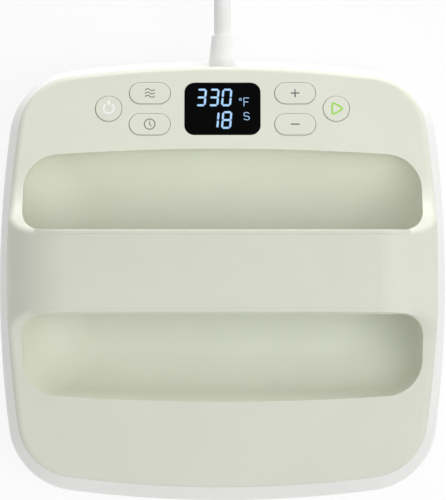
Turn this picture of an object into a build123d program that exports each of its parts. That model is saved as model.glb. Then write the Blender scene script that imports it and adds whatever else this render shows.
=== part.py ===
from build123d import *
import math
import os

# Handheld heat press, in millimetres
# The origin is at the middle of the sole, +Z up, +Y to the rear, where the cord leaves.

os.makedirs("parts", exist_ok=True)

# Plan of the housing: a square with bowed sides and round corners
skirt_half_x = 126.0
skirt_half_y = 124.4
side_bow_radius = 650.0
corner_radius = 40.0

# Heat plate
plate_gap = 11.7
plate_thickness = 9.0
plate_edge_radius = 2.0

# Lower housing, a white skirt with a floor
skirt_bottom_z = 3.0
skirt_widest_z = 10.0
skirt_middle_z = 30.0
skirt_top_z = 49.2
skirt_bottom_inset = 1.6
skirt_middle_inset = 2.2
shell_inset = 7.2
skirt_wall = 2.8
skirt_lip_width = 7.8
skirt_lip_thickness = 2.4
floor_z = 28.0
floor_thickness = 2.5
tongue_root = 4.0
tongue_height = 4.0
tongue_thickness = 1.8
joint_reveal = 0.8

# Top shell
shell_wall = 2.6
shell_lean = 1.0
handle_top_z = 110.0
handle_half_y = 22.9
side_trim = 0.1
deck_slope = 13.0
deck_rise_y = 54.0
deck_rise_z = 72.5
flare_top_drop = 5.0
arch_half_x = 119.2
arch_crown_drop = 1.2
shoulder_radius = 34.0
deck_edge_radius = 3.5

# Finger hollows
well_half_x = 110.0
well_far_y = 70.0
well_bow = 4.6
well_outer_radius = 20.0
well_inner_radius = 12.0
well_floor_z = 42.4
well_wall = 2.4
well_floor_half_x = 72.0
well_floor_half_y = 40.0
well_floor_radius = 14.0
well_floor_bow = 1.2
well_steps = 5
well_wall_top_z = 64.0
well_setback = 0.2
handle_under_z = 80.0
handle_under_half_y = 17.0
handle_under_radius = 8.0
handle_split_z = 97.0
handle_wall = 2.4
handle_leg_radius = 24.0
handle_leg_setback = 3.0
handle_cheek = 2.4
handle_seam = 0.8

# Clearances
fit = 0.3
seat = 0.1
shank_fit = 0.05

# Controls on the rear deck, measured along its slope
panel_y = 92.7
display_width = 42.1
display_height = 30.5
display_radius = 5.6
window_thickness = 1.8
window_ledge = 2.0
round_button_x = 63.2
round_button_diameter = 14.6
pill_x = 40.35
pill_v = 9.1
pill_width = 22.7
pill_height = 12.3
button_gap = 0.3
button_proud = 0.35
button_travel = 0.8
button_edge_radius = 0.45
button_flange = 1.0
button_flange_thickness = 1.0
button_stem_diameter = 4.6
board_depth = 10.8
board_thickness = 1.6
board_half_x = 73.0
board_half_y = 14.0
switch_size = 6.0
switch_height = 3.5
plunger_diameter = 3.2
plunger_proud = 1.0
plunger_height = 2.0

# Mains cord, its boot and its plug
cord_diameter = 9.5
cord_axis_z = 39.5
cord_floor_gap = 0.1
boot_base_diameter = 15.0
boot_tip_diameter = 12.0
boot_tip_y = 136.2
boot_flange_diameter = 17.6
boot_flange_thickness = 2.4

# Screws
screw_diameter = 3.0
screw_head_diameter = 5.6
screw_head_height = 2.2
cross_slot_width = 0.8
boss_diameter = 8.4
well_screw_places = [(sx * 50.0, sy * 30.0) for sx in (-1, 1) for sy in (-1, 1)]
well_screw_bite = 7.0
shell_screw_places = [(sx * 92.0, sy * 92.0) for sx in (-1, 1) for sy in (-1, 1)]
shell_screw_places += [(-40.0, -107.0), (40.0, -107.0)]
shell_screw_bite = 12.0
handle_screw_xs = [-70.0, -25.0, 25.0, 70.0]
handle_boss_z = 86.2
handle_screw_bite = 9.0
handle_cheek_half_x = 102.0
board_screw_u = 69.5
board_screw_v = 10.6
board_boss_diameter = 6.0
board_screw_diameter = 2.5
board_screw_bite = 5.0
board_screw_head_diameter = 4.6
board_screw_head_height = 1.8
plate_screw_head_diameter = 7.0
plate_screw_head_height = 2.8

# Power electronics on the housing's floor
small_boss_diameter = 6.4
power_board_z = 35.6
power_board_x = -52.0
power_board_y = 91.0
power_board_width = 64.0
power_board_depth = 30.0
power_screw_places = [(-80.5, 79.5), (-80.5, 102.5), (-23.5, 79.5), (-23.5, 102.5)]
terminal_place = (41.0, 81.0)
terminal_size = (24.0, 12.0, 14.4)
block_edge_radius = 0.8
relay_place = (-68.5, 88.0)
relay_size = (17.0, 14.0, 12.0)
transformer_place = (-50.0, 86.0)
transformer_size = (17.0, 16.0, 12.0)
capacitor_place = (-29.5, 89.0)
capacitor_size = (7.0, 16.0, 10.5)
heatsink_place = (-46.0, 100.0)
heatsink_width = 20.0
heatsink_height = 8.0
heatsink_plate = 1.6
fin_pitch = 3.6
fin_thickness = 1.2
fin_depth = 6.0
fin_count = 6
fuse_start_x = -78.0
fuse_y = 99.5
fuse_length = 20.0
fuse_diameter = 5.2
fuse_clip = (4.0, 4.4, 2.0)
beeper_u = 50.0
beeper_diameter = 12.0
beeper_height = 5.5
ribbon_x = -37.0
ribbon_v = -10.0
ribbon_width = 5.0
ribbon_thickness = 0.8
ribbon_bend = 3.0
wire_diameter = 2.2
wire_bend = 2.4
lead_high_z = 40.5
lead_board_x = 22.5
core_pitch = 2.8
core_lane_y = 95.0

# Plate stack: element, sensors, blanket, shield, spacers
element_diameter = 6.5
element_z = 8.0
element_top_z = 26.0
element_end_x = 14.0
element_end_y = 86.0
element_half_x = 94.0
element_low_y = 94.0
element_inner_x = 48.0
element_cross_y = 46.0
element_bend = 18.0
element_end_bend = 8.0
element_collar_diameter = 9.0
element_collar_height = 4.0
element_pin_height = 3.0
element_window_x = 44.0
element_window_y = 13.0
sensor_x = 22.0
sensor_y = -20.0
probe_foot = (16.0, 9.0, 2.0)
probe_diameter = 4.8
probe_length = 14.0
cutoff_diameter = 16.0
cutoff_height = 4.0
cutoff_cap_height = 3.0
cutoff_tab = (0.8, 4.0, 2.0)
blanket_z = 11.6
blanket_inset = 16.0
shield_z = 20.0
shield_thickness = 0.8
shield_inset = 12.6
shield_rim = 8.0
spacer_diameter = 9.0
plate_top_radius = 1.0
plate_screw_diameter = 4.0
plate_screw_bite = 6.0
plate_screw_places = [(-71.0, 60.0), (71.0, 60.0), (-71.0, -60.0), (71.0, -60.0), (0.0, -70.0), (0.0, 10.0)]

# Cord clamp
clamp_y = 105.0
clamp_width = 8.0
clamp_half_x = 16.0
clamp_thickness = 3.0
clamp_screw_places = [(-11.0, 105.0), (11.0, 105.0)]
cord_end_y = 99.0
boot_wall_y = 112.2
boot_cone_y = 122.5
boot_seat_thickness = 4.2

# Put-away cord and plug
coil_x = -68.0
coil_y = 258.0
coil_outer_radius = 68.0
coil_pitch = 12.2
coil_layer = 10.4
coil_turns_in = 5
coil_turns_out = 4
coil_samples = 900
plug_x = 102.0
plug_rear_y = 258.0
plug_neck_diameter = 12.5
plug_neck_length = 14.0
plug_width = 28.0
plug_height = 23.0
plug_length = 26.0
plug_blade_length = 17.0
blade_pitch = 12.7
blade_drop = 3.0
blade_size = (1.5, 6.4)
earth_pin_rise = 5.0
earth_pin_diameter = 4.8
plug_neck_flare = 1.5
plug_corner_radius = 6.0
plug_edge_radius = 2.0


def draw_plan(inset):
    """The housing's plan, moved inwards by inset all round."""
    bow = side_bow_radius - inset
    centre_x = skirt_half_x - inset - bow
    centre_y = skirt_half_y - inset - bow
    with Locations(Location((centre_x, 0, 0), (0, 0, 180))):
        Circle(bow)
    with Locations((-centre_x, 0)):
        Circle(bow, mode=Mode.INTERSECT)
    with Locations((0, centre_y)):
        Circle(bow, mode=Mode.INTERSECT)
    with Locations((0, -centre_y)):
        Circle(bow, mode=Mode.INTERSECT)
    fillet(vertices(), corner_radius - inset)


def deck_z(y):
    """Height of the deck's surface at a distance y from the middle."""
    return deck_rise_z - (abs(y) - deck_rise_y) * math.tan(math.radians(deck_slope))


def draw_bell(low_z):
    """The shell's side view: two decks that flare up to the handle's leaning sides."""
    reach = skirt_half_y + 20
    flare_z = handle_top_z - flare_top_drop
    slope = (-math.cos(math.radians(deck_slope)), math.sin(math.radians(deck_slope)))
    chord = math.atan2(flare_z - deck_rise_z, deck_rise_y - handle_half_y)
    side_angle = 2 * chord - math.radians(deck_slope)
    top_z = handle_top_z + 1
    top_y = handle_half_y - (top_z - flare_z) / math.tan(side_angle)
    with BuildLine() as outline:
        Line((-top_y, top_z), (top_y, top_z))
        Line((top_y, top_z), (handle_half_y, flare_z))
        TangentArc((deck_rise_y, deck_rise_z), (handle_half_y, flare_z), tangent=slope)
        Line((deck_rise_y, deck_rise_z), (reach, deck_z(reach)))
        Line((reach, deck_z(reach)), (reach, low_z))
        Line((reach, low_z), (-reach, low_z))
        Line((-reach, low_z), (-reach, deck_z(reach)))
        Line((-reach, deck_z(reach)), (-deck_rise_y, deck_rise_z))
        TangentArc(
            (-deck_rise_y, deck_rise_z), (-handle_half_y, flare_z), tangent=(-slope[0], slope[1])
        )
        Line((-handle_half_y, flare_z), (-top_y, top_z))
    make_face(outline.edges())


def draw_arch(low_z):
    """The shell's front view: a low crown with round shoulders."""
    edge_z = handle_top_z - arch_crown_drop
    with BuildLine() as outline:
        ThreePointArc((-arch_half_x, edge_z), (0, handle_top_z), (arch_half_x, edge_z))
        Line((arch_half_x, edge_z), (arch_half_x, low_z))
        Line((arch_half_x, low_z), (-arch_half_x, low_z))
        Line((-arch_half_x, low_z), (-arch_half_x, edge_z))
    make_face(outline.edges())
    fillet(vertices().filter_by_position(Axis.Y, edge_z - 0.1, edge_z + 0.1), shoulder_radius)


def draw_well_opening(inset):
    """One finger hollow at the deck, on the +Y side: bowed outside, straight by the handle."""
    half_x = well_half_x - inset
    near_y = handle_half_y - side_trim + inset
    far_y = well_far_y - inset
    with BuildLine() as outline:
        Line((-half_x, near_y), (half_x, near_y))
        Line((half_x, near_y), (half_x, far_y - well_bow))
        ThreePointArc((half_x, far_y - well_bow), (0, far_y), (-half_x, far_y - well_bow))
        Line((-half_x, far_y - well_bow), (-half_x, near_y))
    make_face(outline.edges())
    near_corners = vertices().group_by(Axis.Y)[0]
    fillet(near_corners, well_inner_radius - inset)
    far_corners = vertices().group_by(Axis.Y)[-1]
    fillet(far_corners, well_outer_radius - inset)


floor_top_z = floor_z + floor_thickness
shell_bottom_z = skirt_top_z + joint_reveal
form_low_z = shell_bottom_z - 30
form_high_z = handle_top_z + 2

# Outer form of the top shell
with BuildPart() as shell_form:
    with BuildSketch(Plane.XY.offset(shell_bottom_z)):
        draw_plan(shell_inset)
    with BuildSketch(Plane.XY.offset(form_high_z)):
        draw_plan(shell_inset + shell_lean)
    loft(ruled=True)
    with BuildSketch(Plane.YZ):
        draw_bell(form_low_z)
    extrude(amount=skirt_half_x, both=True, mode=Mode.INTERSECT)
    with BuildSketch(Plane.XZ):
        draw_arch(form_low_z)
    extrude(amount=skirt_half_y, both=True, mode=Mode.INTERSECT)

# Hollow of the top shell
with BuildPart() as shell_hollow:
    with BuildSketch(Plane.XY.offset(shell_bottom_z - 1)):
        draw_plan(shell_inset + shell_wall)
    with BuildSketch(Plane.XY.offset(form_high_z)):
        draw_plan(shell_inset + shell_wall + shell_lean)
    loft(ruled=True)
    with BuildSketch(Plane.YZ):
        draw_bell(form_low_z)
        offset(amount=-shell_wall)
    extrude(amount=skirt_half_x, both=True, mode=Mode.INTERSECT)
    with BuildSketch(Plane.XZ):
        draw_arch(form_low_z)
        offset(amount=-shell_wall)
    extrude(amount=skirt_half_y, both=True, mode=Mode.INTERSECT)

panel_angle = math.radians(deck_slope)
panel = Plane(
    origin=(0, panel_y, deck_z(panel_y)),
    x_dir=(1, 0, 0),
    z_dir=(0, math.sin(panel_angle), math.cos(panel_angle)),
)
board_screw_places = [(sx * board_screw_u, sv * board_screw_v) for sx in (-1, 1) for sv in (-1, 1)]


def draw_control(kind, grow):
    """A button's outline: round or a pill."""
    if kind == "round":
        Circle(round_button_diameter / 2 + grow)
    else:
        SlotOverall(pill_width + 2 * grow, pill_height + 2 * grow)


controls = [
    ("power", "round", -round_button_x, 0),
    ("temperature", "pill", -pill_x, pill_v),
    ("timer", "pill", -pill_x, -pill_v),
    ("plus", "pill", pill_x, pill_v),
    ("minus", "pill", pill_x, -pill_v),
    ("start", "round", round_button_x, 0),
]

# Cheeks of the handle: its walls down to the lower half
with BuildPart() as handle_cheeks:
    with BuildSketch(Plane.XY.offset(handle_split_z)):
        Rectangle(2 * handle_cheek_half_x, 2 * handle_half_y)
        Rectangle(2 * handle_cheek_half_x, 2 * (handle_half_y - handle_cheek), mode=Mode.SUBTRACT)
    extrude(amount=handle_top_z - handle_split_z)
    add(shell_form.part, mode=Mode.INTERSECT)

# Top shell: decks, side strips and the top of the handle
with BuildPart() as top_shell:
    add(shell_form.part)
    rim = top_shell.edges().filter_by(GeomType.LINE, reverse=True)
    fillet(rim.filter_by(lambda e: e.center().Z > deck_z(skirt_half_y)), deck_edge_radius)
    add(shell_hollow.part, mode=Mode.SUBTRACT)
    add(handle_cheeks.part)
    # Screw bosses of the handle
    with BuildSketch(Plane.XY.offset(handle_boss_z)):
        with Locations([(x, 0) for x in handle_screw_xs]):
            Circle(boss_diameter / 2)
    extrude(amount=handle_top_z - arch_crown_drop - shell_wall / 2 - handle_boss_z)
    # Screw bosses round the edge
    for x, y in shell_screw_places:
        top_z = deck_z(abs(y) + boss_diameter / 2) - seat
        with BuildSketch(Plane.XY.offset(floor_top_z + seat)):
            with Locations((x, y)):
                Circle(boss_diameter / 2)
        extrude(amount=top_z - floor_top_z - seat)
    # Bosses that carry the control board
    with BuildSketch(panel.offset(-board_depth)):
        with Locations(board_screw_places):
            Circle(board_boss_diameter / 2)
    extrude(amount=board_depth - shell_wall / 2)
    # Finger hollows
    with BuildSketch(Plane.XY.offset(shell_bottom_z)):
        draw_well_opening(0)
    extrude(amount=handle_top_z - shell_bottom_z, mode=Mode.SUBTRACT)
    with BuildSketch(Plane.XY.offset(shell_bottom_z).rotated((0, 0, 180))):
        draw_well_opening(0)
    extrude(amount=handle_top_z - shell_bottom_z, mode=Mode.SUBTRACT)
    # Button holes, the window's seat and its light opening
    for name, kind, u, v in controls:
        with BuildSketch(panel.offset(-shell_wall - 1)):
            with Locations((u, v)):
                draw_control(kind, button_gap)
        extrude(amount=shell_wall + 3, mode=Mode.SUBTRACT)
    with BuildSketch(panel.offset(-window_thickness)):
        RectangleRounded(display_width + fit, display_height + fit, display_radius + fit / 2)
    extrude(amount=window_thickness + 2, mode=Mode.SUBTRACT)
    with BuildSketch(panel.offset(-shell_wall - 1)):
        RectangleRounded(
            display_width - 2 * window_ledge, display_height - 2 * window_ledge, display_radius - window_ledge
        )
    extrude(amount=shell_wall + 1, mode=Mode.SUBTRACT)
    # Pilot holes
    with BuildSketch(Plane.XY.offset(floor_top_z)):
        with Locations(shell_screw_places):
            Circle(screw_diameter / 2 + shank_fit)
    extrude(amount=shell_screw_bite + 2, mode=Mode.SUBTRACT)
    with BuildSketch(Plane.XY.offset(handle_boss_z)):
        with Locations([(x, 0) for x in handle_screw_xs]):
            Circle(screw_diameter / 2 + shank_fit)
    extrude(amount=handle_screw_bite + 2, mode=Mode.SUBTRACT)
    with BuildSketch(panel.offset(-board_depth)):
        with Locations(board_screw_places):
            Circle(board_screw_diameter / 2 + shank_fit)
    extrude(amount=board_screw_bite + 1, mode=Mode.SUBTRACT)
top_shell.part.label = "top_shell"
export_step(top_shell.part, "parts/top_shell.step")


def draw_well_plan(half_x, half_y, bow, radius):
    """The liner's plan at one height: straight sides, bowed front and rear."""
    side_y = half_y - bow
    with BuildLine() as outline:
        Line((half_x, -side_y), (half_x, side_y))
        ThreePointArc((half_x, side_y), (0, half_y), (-half_x, side_y))
        Line((-half_x, side_y), (-half_x, -side_y))
        ThreePointArc((-half_x, -side_y), (0, -half_y), (half_x, -side_y))
    make_face(outline.edges())
    fillet(vertices(), radius)


def well_basin(inset, bottom_z):
    """A bowl as wide as the hollows at the deck, whose walls curve in to a flat floor."""
    with BuildPart() as basin:
        for step in range(well_steps + 1):
            turn = math.radians(90 * step / well_steps)
            out = math.sin(turn)
            rise = 1 - math.cos(turn)
            with BuildSketch(Plane.XY.offset(bottom_z + rise * (well_wall_top_z - bottom_z))):
                draw_well_plan(
                    well_floor_half_x + out * (well_half_x - well_floor_half_x) - inset,
                    well_floor_half_y + out * (well_far_y - well_floor_half_y) - inset,
                    well_floor_bow + out * (well_bow - well_floor_bow),
                    well_floor_radius + out * (well_outer_radius - well_floor_radius) - inset,
                )
        loft()
        with BuildSketch(Plane.XY.offset(well_wall_top_z)):
            draw_well_plan(
                well_half_x - inset, well_far_y - inset, well_bow, well_outer_radius - inset
            )
        extrude(amount=handle_top_z - well_wall_top_z)
    return basin.part


# How far the liner may reach: up to the underside of the top shell
with BuildPart() as well_limit:
    add(shell_hollow.part.moved(Location((0, 0, -fit))))
    with BuildSketch(Plane.XY.offset(floor_z)):
        Rectangle(2 * (well_half_x + well_wall + 1), 2 * (well_far_y + well_wall + 1))
    extrude(amount=shell_bottom_z + 1 - floor_z)

# Liner of the two finger hollows, one trough that runs on under the handle
with BuildPart() as hand_well:
    add(well_basin(-well_setback - well_wall, well_floor_z - well_wall))
    add(well_basin(-well_setback, well_floor_z), mode=Mode.SUBTRACT)
    add(well_limit.part, mode=Mode.INTERSECT)
    with BuildSketch(Plane.XY.offset(floor_top_z + seat)):
        with Locations(well_screw_places):
            Circle(boss_diameter / 2)
    extrude(amount=well_floor_z - well_wall / 2 - floor_top_z - seat)
    with BuildSketch(Plane.XY.offset(floor_top_z)):
        with Locations(well_screw_places):
            Circle(screw_diameter / 2 + shank_fit)
    extrude(amount=well_screw_bite + 1, mode=Mode.SUBTRACT)
hand_well.part.label = "hand_well"
export_step(hand_well.part, "parts/hand_well.step")


def handle_trough(inset):
    """Lower half of the handle, which spreads into a leg at each end."""
    half_x = well_half_x - handle_leg_setback - inset
    under_z = handle_under_z + inset
    leg_x = half_x - handle_leg_radius
    leg_z = under_z - handle_leg_radius
    turn = math.radians(45)
    arc_x = leg_x + handle_leg_radius * math.sin(turn)
    arc_z = leg_z + handle_leg_radius * math.cos(turn)
    top_half_y = handle_half_y - handle_seam - inset
    low_half_y = handle_under_half_y - inset
    with BuildPart() as trough:
        with BuildSketch(Plane.YZ):
            with BuildLine() as outline:
                Polyline(
                    (-top_half_y, handle_split_z - seat),
                    (top_half_y, handle_split_z - seat),
                    (low_half_y, under_z),
                    (low_half_y, leg_z),
                    (-low_half_y, leg_z),
                    (-low_half_y, under_z),
                    close=True,
                )
            make_face(outline.edges())
        extrude(amount=half_x, both=True)
        with BuildSketch(Plane.XZ):
            with BuildLine() as outline:
                Line((-half_x, handle_split_z), (half_x, handle_split_z))
                Line((half_x, handle_split_z), (half_x, leg_z))
                ThreePointArc((half_x, leg_z), (arc_x, arc_z), (leg_x, under_z))
                Line((leg_x, under_z), (-leg_x, under_z))
                ThreePointArc((-leg_x, under_z), (-arc_x, arc_z), (-half_x, leg_z))
                Line((-half_x, leg_z), (-half_x, handle_split_z))
            make_face(outline.edges())
        extrude(amount=handle_half_y, both=True, mode=Mode.INTERSECT)
    return trough.part


# Lower half of the handle
with BuildPart() as handle_underside:
    add(handle_trough(0))
    under = handle_underside.edges().filter_by(
        lambda e: e.center().Z < handle_under_z + 1 and abs(e.center().X) < handle_cheek_half_x
    )
    fillet(under.filter_by(lambda e: abs(e.center().Y) > handle_under_half_y - 1), handle_under_radius)
    add(well_basin(fit, well_floor_z + fit), mode=Mode.INTERSECT)
    with BuildPart(mode=Mode.SUBTRACT):
        add(handle_trough(handle_wall))
        add(well_basin(fit + handle_wall, well_floor_z + fit), mode=Mode.INTERSECT)
    with BuildSketch(Plane.XY.offset(handle_under_z + handle_wall / 2)):
        with Locations([(x, 0) for x in handle_screw_xs]):
            Circle(boss_diameter / 2 + seat)
    extrude(amount=handle_boss_z - seat - handle_under_z - handle_wall / 2)
    with BuildSketch(Plane.XY.offset(handle_under_z - 1)):
        with Locations([(x, 0) for x in handle_screw_xs]):
            Circle(screw_head_diameter / 2 + fit)
    extrude(amount=handle_wall + 1, mode=Mode.SUBTRACT)
    with BuildSketch(Plane.XY.offset(handle_under_z)):
        with Locations([(x, 0) for x in handle_screw_xs]):
            Circle(screw_diameter / 2 + seat)
    extrude(amount=handle_boss_z - handle_under_z, mode=Mode.SUBTRACT)
handle_underside.part.label = "handle_underside"
export_step(handle_underside.part, "parts/handle_underside.step")


def skirt_form(inset):
    """The skirt's outer or inner form: widest near the foot, leaning in to the shell."""
    sections = [
        (skirt_bottom_z, skirt_bottom_inset),
        (skirt_widest_z, 0),
        (skirt_middle_z, skirt_middle_inset),
        (skirt_top_z, shell_inset),
    ]
    with BuildPart() as form:
        for z, section_inset in sections:
            with BuildSketch(Plane.XY.offset(z)):
                draw_plan(section_inset + inset)
        loft()
    return form.part


def draw_plan_ring(outer_inset, inner_inset):
    """A band between two insets of the housing's plan."""
    draw_plan(outer_inset)
    with BuildSketch(mode=Mode.PRIVATE) as inner:
        draw_plan(inner_inset)
    add(inner.sketch, mode=Mode.SUBTRACT)


# Lower housing: white skirt, turned-in foot, inner floor and the tongue that centres the shell
with BuildPart() as lower_housing:
    add(skirt_form(0))
    add(skirt_form(skirt_wall), mode=Mode.SUBTRACT)
    with BuildSketch(Plane.XY.offset(skirt_bottom_z)):
        draw_plan_ring(skirt_bottom_inset + skirt_wall / 2, skirt_bottom_inset + skirt_lip_width)
    extrude(amount=skirt_lip_thickness)
    with BuildSketch(Plane.XY.offset(floor_z)):
        draw_plan(skirt_middle_inset + skirt_wall / 2)
    extrude(amount=floor_thickness)
    with BuildSketch(Plane.XY.offset(skirt_top_z - tongue_root)):
        draw_plan_ring(shell_inset + skirt_wall / 2, shell_inset + shell_wall + fit + tongue_thickness)
    extrude(amount=tongue_root)
    with BuildSketch(Plane.XY.offset(skirt_top_z)):
        draw_plan_ring(
            shell_inset + shell_wall + fit, shell_inset + shell_wall + fit + tongue_thickness
        )
    extrude(amount=tongue_height)
    # Bosses for the cord clamp and the power board
    with BuildSketch(Plane.XY.offset(floor_z)):
        with Locations(clamp_screw_places):
            Circle(boss_diameter / 2)
    extrude(amount=cord_axis_z - seat - floor_z)
    with BuildSketch(Plane.XY.offset(floor_z)):
        with Locations((0, clamp_y)):
            Rectangle(cord_diameter, clamp_width)
    extrude(amount=cord_axis_z - cord_diameter / 2 - seat - floor_z)
    with BuildSketch(Plane.XY.offset(floor_z)):
        with Locations(power_screw_places):
            Circle(small_boss_diameter / 2)
    extrude(amount=power_board_z - floor_z)
    # Flat seat behind the skirt and the hole for the boot
    with BuildSketch(Plane.XY.offset(floor_z)):
        with Locations((0, boot_wall_y + seat + boot_seat_thickness / 2)):
            Rectangle(boot_flange_diameter + 4, boot_seat_thickness)
    extrude(amount=cord_axis_z + boot_flange_diameter / 2 - floor_z)
    with BuildSketch(Plane.XZ.offset(-skirt_half_y - 1)):
        with Locations((0, cord_axis_z)):
            Circle(boot_base_diameter / 2 + seat)
    extrude(amount=skirt_half_y + 1 - boot_wall_y, mode=Mode.SUBTRACT)
    # Screw holes and the opening over the element's ends
    with BuildSketch(Plane.XY.offset(floor_z - 1)):
        with Locations(shell_screw_places + well_screw_places):
            Circle(screw_diameter / 2 + fit)
        with Locations(plate_screw_places):
            Circle(plate_screw_diameter / 2 + fit)
        with Locations((0, element_end_y)):
            RectangleRounded(element_window_x, element_window_y, 3)
    extrude(amount=floor_thickness + 2, mode=Mode.SUBTRACT)
    with BuildSketch(Plane.XY.offset(floor_top_z)):
        with Locations(clamp_screw_places + power_screw_places):
            Circle(screw_diameter / 2 + shank_fit)
    extrude(amount=cord_axis_z - floor_top_z + 1, mode=Mode.SUBTRACT)
lower_housing.part.label = "lower_housing"
export_step(lower_housing.part, "parts/lower_housing.step")

element_points = [
    (-element_end_x, element_end_y),
    (-element_half_x, element_end_y),
    (-element_half_x, -element_low_y),
    (-element_inner_x, -element_low_y),
    (-element_inner_x, element_cross_y),
    (element_inner_x, element_cross_y),
    (element_inner_x, -element_low_y),
    (element_half_x, -element_low_y),
    (element_half_x, element_end_y),
    (element_end_x, element_end_y),
]
element_path = [(-element_end_x, element_end_y, element_top_z)]
element_path += [(x, y, element_z) for x, y in element_points]
element_path += [(element_end_x, element_end_y, element_top_z)]
element_radii = [element_end_bend] + [element_bend] * 8 + [element_end_bend]


def tube(points, radii, diameter):
    """A round bar or tube along straight runs joined by arcs."""
    with BuildPart() as made:
        with BuildLine() as path:
            if len(points) > 2:
                FilletPolyline(*points, radius=radii)
            else:
                Line(*points)
        start = path.wire() @ 0
        with BuildSketch(Plane(origin=start, z_dir=path.wire() % 0)):
            Circle(diameter / 2)
        sweep(path=path.wire())
    return made.part


# Tubular heating element, bent flat with both ends turned up
with BuildPart() as heating_element:
    add(tube(element_path, element_radii, element_diameter))
heating_element.part.label = "heating_element"
export_step(heating_element.part, "parts/heating_element.step")

# Cast plate with a groove for the element and six tapped holes
with BuildPart() as heat_plate:
    with BuildSketch():
        draw_plan(plate_gap)
    extrude(amount=plate_thickness)
    fillet(heat_plate.faces().sort_by(Axis.Z)[0].edges(), plate_edge_radius)
    fillet(heat_plate.faces().sort_by(Axis.Z)[-1].edges(), plate_top_radius)
    add(tube(element_path, element_radii, element_diameter + 2 * seat), mode=Mode.SUBTRACT)
    with BuildSketch(Plane.XY.offset(plate_thickness - plate_screw_bite)):
        with Locations(plate_screw_places):
            Circle(plate_screw_diameter / 2 + shank_fit)
    extrude(amount=plate_screw_bite + 1, mode=Mode.SUBTRACT)
heat_plate.part.label = "heat_plate"
export_step(heat_plate.part, "parts/heat_plate.step")

# Ends of the element: ceramic collars with a steel pin each
with BuildPart() as element_terminals:
    for side in (-1, 1):
        with BuildSketch(Plane.XY.offset(element_top_z)):
            with Locations((side * element_end_x, element_end_y)):
                Circle(element_collar_diameter / 2)
        extrude(amount=element_collar_height)
        with BuildSketch(Plane.XY.offset(element_top_z + element_collar_height)):
            with Locations((side * element_end_x, element_end_y)):
                Circle(wire_diameter / 2)
        extrude(amount=element_pin_height)
element_terminals.part.label = "element_terminals"
export_step(element_terminals.part, "parts/element_terminals.step")

# Sensor and cut-out, clamped to the plate's top
with BuildPart() as thermistor_probe:
    with BuildSketch(Plane.XY.offset(plate_thickness)):
        with Locations((sensor_x, sensor_y)):
            RectangleRounded(probe_foot[0], probe_foot[1], probe_foot[2])
    extrude(amount=probe_foot[2])
    with BuildSketch(Plane.YZ.offset(sensor_x - probe_length / 2)):
        with Locations((sensor_y, plate_thickness + probe_foot[2] + probe_diameter / 3)):
            Circle(probe_diameter / 2)
    extrude(amount=probe_length)
thermistor_probe.part.label = "thermistor_probe"
export_step(thermistor_probe.part, "parts/thermistor_probe.step")

with BuildPart() as thermal_cutoff:
    with BuildSketch(Plane.XY.offset(plate_thickness)):
        with Locations((-sensor_x, sensor_y)):
            Circle(cutoff_diameter / 2)
    extrude(amount=cutoff_height)
    with BuildSketch(Plane.XY.offset(plate_thickness + cutoff_height)):
        with Locations((-sensor_x, sensor_y)):
            Circle(3 * cutoff_diameter / 8)
    extrude(amount=cutoff_cap_height)
    with BuildSketch(Plane.XY.offset(plate_thickness + cutoff_height + cutoff_cap_height)):
        with Locations((-sensor_x, sensor_y)):
            with GridLocations(cutoff_diameter / 2, 0, 2, 1):
                Rectangle(cutoff_tab[0], cutoff_tab[1])
    extrude(amount=cutoff_tab[2])
thermal_cutoff.part.label = "thermal_cutoff"
export_step(thermal_cutoff.part, "parts/thermal_cutoff.step")

# Ceramic-fibre blanket over the element
with BuildPart() as insulation_blanket:
    with BuildSketch(Plane.XY.offset(blanket_z)):
        draw_plan(blanket_inset)
        with Locations(plate_screw_places):
            Circle(spacer_diameter / 2 + 1, mode=Mode.SUBTRACT)
        with Locations((0, element_end_y)):
            RectangleRounded(
                2 * (element_end_x + element_end_bend) + element_diameter,
                element_window_y,
                3,
                mode=Mode.SUBTRACT,
            )
        with Locations((sensor_x, sensor_y), (-sensor_x, sensor_y)):
            RectangleRounded(20, 20, 4, mode=Mode.SUBTRACT)
    extrude(amount=shield_z - seat - blanket_z)
insulation_blanket.part.label = "insulation_blanket"
export_step(insulation_blanket.part, "parts/insulation_blanket.step")

# Folded sheet shield over the blanket
with BuildPart() as heat_shield:
    with BuildSketch(Plane.XY.offset(shield_z)):
        draw_plan(shield_inset)
    extrude(amount=shield_thickness)
    with BuildSketch(Plane.XY.offset(shield_z)):
        draw_plan_ring(shield_inset, shield_inset + shield_thickness)
    extrude(amount=-shield_rim)
    with BuildSketch(Plane.XY.offset(shield_z - 1)):
        with Locations(plate_screw_places):
            Circle(plate_screw_diameter / 2 + fit)
        with Locations((-element_end_x, element_end_y), (element_end_x, element_end_y)):
            Circle(element_collar_diameter / 2 + 1)
    extrude(amount=shield_thickness + 2, mode=Mode.SUBTRACT)
heat_shield.part.label = "heat_shield"
export_step(heat_shield.part, "parts/heat_shield.step")


def spacers(low_z, high_z):
    """Six spacers on the plate's screws."""
    with BuildPart() as made:
        with BuildSketch(Plane.XY.offset(low_z)):
            with Locations(plate_screw_places):
                Circle(spacer_diameter / 2)
                Circle(plate_screw_diameter / 2 + seat, mode=Mode.SUBTRACT)
        extrude(amount=high_z - low_z)
    return made.part


def screws(base, places, diameter, head_diameter, head_height, length):
    """Pan-head screws whose heads stand on the base plane's front and shanks run behind it."""
    with BuildPart() as made:
        with BuildSketch(base):
            with Locations(places):
                Circle(head_diameter / 2)
        extrude(amount=head_height)
        outer_faces = made.faces().group_by(Axis(base.origin, base.z_dir))[-1]
        fillet(outer_faces.edges(), head_height / 3)
        with BuildSketch(base):
            with Locations(places):
                Circle(diameter / 2)
        extrude(amount=-length)
        with BuildSketch(base.offset(head_height)):
            with Locations(places):
                Rectangle(head_diameter * 0.6, cross_slot_width)
                Rectangle(cross_slot_width, head_diameter * 0.6)
        extrude(amount=-head_height / 2, mode=Mode.SUBTRACT)
    return made.part


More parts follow.
